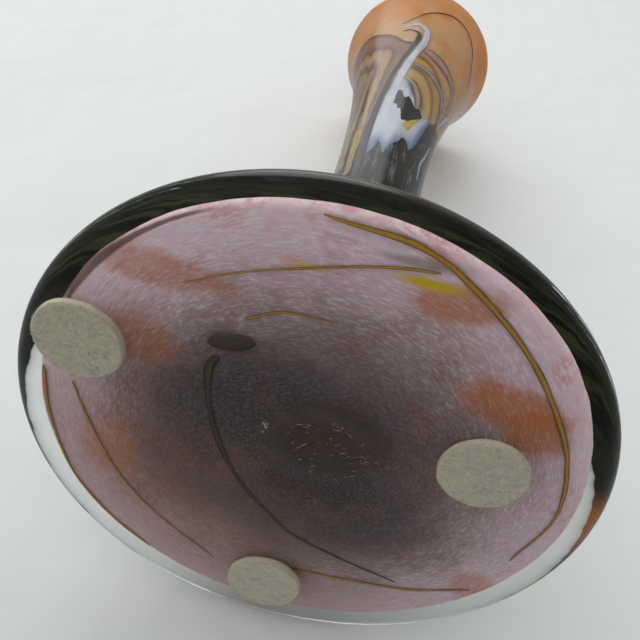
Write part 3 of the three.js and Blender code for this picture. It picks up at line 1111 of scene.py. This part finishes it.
wool = feltWool()
filmLook = stickyFilm()
film = {"rounding": 0.1, "turns": 64}
for side, seed in (("left", 11), ("right", 23), ("back", 37)):
    low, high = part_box("felt_pad_" + side)
    cx, cy = (low.x + high.x) / 2 / mm, (low.y + high.y) / 2 / mm
    radius, thick, edge, base = (felt[key] for key in ("radius", "thick", "edge", "base"))
    profile = [(radius * i / felt["rings"], base) for i in range(felt["rings"] - 1)]
    for i in range(7):
        angle = math.pi / 2 * i / 6
        across = radius - edge + edge * math.sin(angle)
        profile.append((across, base + edge - edge * math.cos(angle)))
    profile += [(radius, 1.3), (radius, thick - 0.4), (radius - 0.25, thick - 0.05)]
    profile += [(radius * i / 6, thick - 0.02) for i in range(5, -1, -1)]
    bm = spun(profile, steps=felt["turns"])
    rng = random.Random(seed)
    for vert in bm.verts:
        x, y, z = (c / mm for c in vert.co)
        away = math.hypot(x, y)
        if away > radius * 0.6:
            pull = 1 + 0.018 * noise.noise(Vector((x / 7, y / 7, seed))) - 0.012
            vert.co.x *= pull
            vert.co.y *= pull
        if z < thick - 0.3:
            lump = noise.noise(Vector((x / 3.2, y / 3.2, seed + z)))
            small = noise.noise(Vector((x * 0.9, y * 0.9, seed + z)))
            vert.co.z += max(0, felt["uneven"] * (0.5 * lump + 0.5 * small) + 0.08) * mm
    bmesh.ops.recalc_face_normals(bm, faces=bm.faces)
    # loose fibres standing off the felt
    paths = []
    for _ in range(felt["fibres"]):
        angle = rng.uniform(0, fullTurn)
        onEdge = rng.random() < 0.45
        away = radius * (rng.uniform(0.93, 0.985) if onEdge else math.sqrt(rng.random()) * 0.93)
        low = rng.uniform(0.3, 2.0) if onEdge else 0.2
        start = Vector((math.cos(angle) * away, math.sin(angle) * away, low))
        heading = angle + rng.uniform(-1.4, 1.4) if onEdge else rng.uniform(0, fullTurn)
        rise = rng.uniform(-0.5, 0.3) if onEdge else -0.08
        way = Vector((math.cos(heading), math.sin(heading), rise))
        bend = Vector((-way.y, way.x, 0)) * rng.uniform(-0.8, 0.8)
        length = felt["fibreLength"] * rng.uniform(0.4, 1.0) * (0.5 if onEdge else 1.0)
        path = []
        for place, share in bentLine(start, way, bend, length):
            place.z = min(max(place.z, 0.08), thick - 0.1)
            path.append((place, 1 - 0.6 * share))
        paths.append(path)
    strands(bm, paths, felt["fibreRadius"])
    bmesh.ops.translate(bm, vec=(cx * mm, cy * mm, 0), verts=bm.verts)
    pad = finished(bm, "felt_disc_" + side, wool, ("felt_pad_" + side,))

    low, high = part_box("pad_adhesive_" + side)
    reach = (high.x - low.x) / 2 / mm
    base, top, edge = low.z / mm, high.z / mm, film["rounding"]
    bm = spun([
        (0, base), (reach * 0.5, base), (reach - edge, base), (reach, base + edge),
        (reach, top - edge), (reach - edge, top), (reach * 0.5, top), (0, top),
    ], steps=film["turns"])
    bmesh.ops.translate(bm, vec=(cx * mm, cy * mm, 0), verts=bm.verts)
    finished(bm, "film_" + side, filmLook, ("pad_adhesive_" + side,))
print("felt pads made")

# fine scratches where the punty was ground off
scratches = {
    "count": 70,
    "length": 2.6,
    "radius": 0.06,
    "sunk": 0.02,
    "seed": 5,
    # where the burst bubble's pale flecks sit, partly a painted glint
    "burstAndGlint": (-12.5, -13.5),
    "flecks": 9,
    "fleckLength": 0.8,
}


def groundHeight(x, y):
    return glassBase + groundIn(x, y) - scratches["sunk"]


rng = random.Random(scratches["seed"])
paths = []
for _ in range(scratches["count"]):
    angle = rng.uniform(0, fullTurn)
    away = pontil["radius"] * 0.85 * math.sqrt(rng.random())
    x = pontil["place"][0] + 3 + math.cos(angle) * away
    y = pontil["place"][1] - 3 + math.sin(angle) * away * 0.8
    heading = rng.gauss(-0.5, 0.5)
    way = bearing(heading)
    bend = Vector((-way.y, way.x, 0)) * rng.uniform(-0.3, 0.3)
    length = scratches["length"] * rng.uniform(0.15, 1.0) ** 2
    path = []
    for place, share in bentLine(Vector((x, y, 0)), way, bend, length):
        place.z = groundHeight(place.x, place.y)
        path.append((place, 0.4 + 0.6 * math.sin(math.pi * share)))
    paths.append(path)
# pale flecks round a burst bubble's edge, which also stand for a painted glint on the ground glass
for i in range(scratches["flecks"]):
    angle = rng.uniform(0, fullTurn)
    place = Vector((*scratches["burstAndGlint"], 0)) + Vector((rng.gauss(0, 0.5), rng.gauss(0, 1.2), 0))
    tip = place + bearing(angle) * scratches["fleckLength"]
    place.z = groundHeight(place.x, place.y)
    tip.z = groundHeight(tip.x, tip.y)
    paths.append([(place, 2.2), (tip, 1.2)])
bm = bmesh.new()
strands(bm, paths, scratches["radius"])
bmesh.ops.recalc_face_normals(bm, faces=bm.faces)
r = Recipe("groundGlass")
grain = r.cloud(r.spots(), 2.0, 3)
ground = r.mix(r.fade(grain, 0.4, 0.6), paint(206, 184, 150), paint(112, 90, 66))
finished(bm, "pontil_scratches", r.surface(ground, 0.6))
print("scratches made")

# stage, light and camera
stage = {
    "cloth": paint(210, 212, 211),
    # the cloth's colour in painted shade, towards its lower end and +X
    "clothInShade": paint(186, 189, 187),
    "floor": paint(232, 234, 234),
    "clothSize": (2.6, 1.7),
    "clothUp": 0.35,
    "floorSize": (4, 4),
    "tilt": 5.6,
    "touch": (0, 86.6, 12),
}
room = {
    "tint": (0.97, 0.99, 1, 1),
    "backdrop": 0.80,
    "around": 0.42,
    "glow": 1.05,
    "glowFrom": (-0.75, -1.0, -0.35),
    "ceiling": 0.75,
    "mirrored": 0.16,  # share of the light that the glass mirrors
    # lights that only show mirrored in the glass
    "glint": 0.8,
    "glintFrom": (-0.25, -0.35, 0.9),
    "glintEdge": 0.93,
    "skylight": 0.25,
    "beyond": 0.28,
    "keyPlace": (-0.55, -0.75, 0.55),
    "keyPower": 3.4,
    "keySize": 1.3,
    "keyColour": (1, 0.99, 0.97),
}


def turnedTo(right, up, backward, place):
    # the matrix that lays X, Y and Z along three directions and moves to a place
    return Matrix((*zip(right, up, backward, place), (0, 0, 0, 1)))


def stagePlane(name, size, matrix, colours, forCameraOnly):
    bm = bmesh.new()
    bmesh.ops.create_grid(bm, x_segments=1, y_segments=1, size=0.5)
    bmesh.ops.scale(bm, vec=(size[0], size[1], 1), verts=bm.verts)
    bmesh.ops.transform(bm, matrix=matrix, verts=bm.verts)
    r = Recipe(name + "Look")
    places = r.spots()
    x, _, z = r.split(places)
    crease = r.cloud(places, 0.011, 3)
    # on the cloth this is painted shade, darker towards its lower end and +X; the floor's two
    # colours are the same
    colour = r.mix(r.fade(x * 0.2 - z, -120, 130), *colours)
    face = r.node("ShaderNodeBsdfPrincipled", None, {
        "Base Color": colour,
        "Roughness": 1.0,
        "Specular IOR Level": 0.0,
        "Normal": r.bump(crease, 0.6, 8 * mm),
    })
    clear = r.node("ShaderNodeBsdfTransparent")
    hide = r.node("ShaderNodeNewGeometry", output="Backfacing")
    if forCameraOnly:
        hide = hide.maths("MAXIMUM", 1 - r.node("ShaderNodeLightPath", output="Is Camera Ray"))
    shader = r.node("ShaderNodeMixShader", None, {0: hide, 1: face, 2: clear})
    r.tree.links.new(shader.socket, r.output.inputs["Surface"])
    plane = added(name, meshOf(bm, name, r.holder))
    plane.visible_glossy = False


tilt = math.radians(stage["tilt"])
along = Vector((0, -math.sin(tilt), math.cos(tilt)))
facing = Vector((0, -math.cos(tilt), -math.sin(tilt)))
sideways = along.cross(facing)
middle = Vector(stage["touch"]) * mm + along * stage["clothUp"]
clothMatrix = turnedTo(sideways, along, facing, middle)
stagePlane("cloth", stage["clothSize"], clothMatrix, (stage["cloth"], stage["clothInShade"]), False)
floorColours = (stage["floor"], stage["floor"])
stagePlane("floor", stage["floorSize"], Matrix.Identity(4), floorColours, True)

r = Recipe("room", bpy.data.worlds.new("room"))
heading = r.node("ShaderNodeTexCoord", output="Generated")
_, headingY, headingZ = r.split(heading)


def towards(direction):
    inputs = {0: heading, 1: Vector(direction).normalized()}
    return r.node("ShaderNodeVectorMath", {"operation": "DOT_PRODUCT"}, inputs, "Value")


glow = towards(room["glowFrom"]).maths("MAXIMUM", 0) ** 1.6 * room["glow"]
lit = glow + headingZ.maths("MAXIMUM", 0) * room["ceiling"] + room["around"]
seen = r.node("ShaderNodeLightPath", output="Is Camera Ray")
mirrored = r.node("ShaderNodeLightPath", output="Is Glossy Ray")
mirrored = mirrored * (1 - r.node("ShaderNodeLightPath", output="Is Transmission Ray"))
glint = (towards(room["glintFrom"]) - room["glintEdge"]) * 30
glint = glint.maths("MAXIMUM", 0).maths("MINIMUM", 1) * room["glint"]
glint = glint + (headingZ - 0.5).maths("MAXIMUM", 0) * room["skylight"]
beyond = (headingY - 0.15).maths("MAXIMUM", 0) * room["beyond"]
lit = lit * (1 - mirrored * (1 - room["mirrored"])) + (glint + beyond) * mirrored
level = lit * (1 - seen) + seen * room["backdrop"]
back = r.node("ShaderNodeBackground", None, {"Color": room["tint"], "Strength": level})
r.tree.links.new(back.socket, r.output.inputs["Surface"])
scene.world = r.holder

keyLight = bpy.data.lights.new("key", "AREA")
keyLight.shape = "SQUARE"
keyLight.size = room["keySize"]
keyLight.energy = room["keyPower"]
keyLight.color = room["keyColour"]
lamp = added("key", keyLight)
lamp.location = room["keyPlace"]
aim = Vector((0, 0, overallHeight / 2 * mm)) - lamp.location
lamp.rotation_euler = aim.to_track_quat("-Z", "Y").to_euler()
lamp.visible_glossy = False

view = {
    "place": (0, -155.6, -124.9),
    "right": (0.9657, -0.2039, 0.1608),
    "up": (-0.2597, -0.7603, 0.5954),
    "lens": 39.05,
    "sensor": 36,
    "shift": -0.03125,
}
cameraData = bpy.data.cameras.new("camera")
cameraData.sensor_width = view["sensor"]
cameraData.lens = view["lens"]
cameraData.shift_x = view["shift"]
cameraData.clip_start = 0.01
cameraObject = added("camera", cameraData)
right = Vector(view["right"]).normalized()
up = Vector(view["up"])
up = (up - right * up.dot(right)).normalized()
backward = right.cross(up)
place = Vector(view["place"]) * mm
cameraObject.matrix_world = turnedTo(right, up, backward, place)
scene.camera = cameraObject
scene.view_settings.view_transform = "Standard"
print("stage, light and camera set")
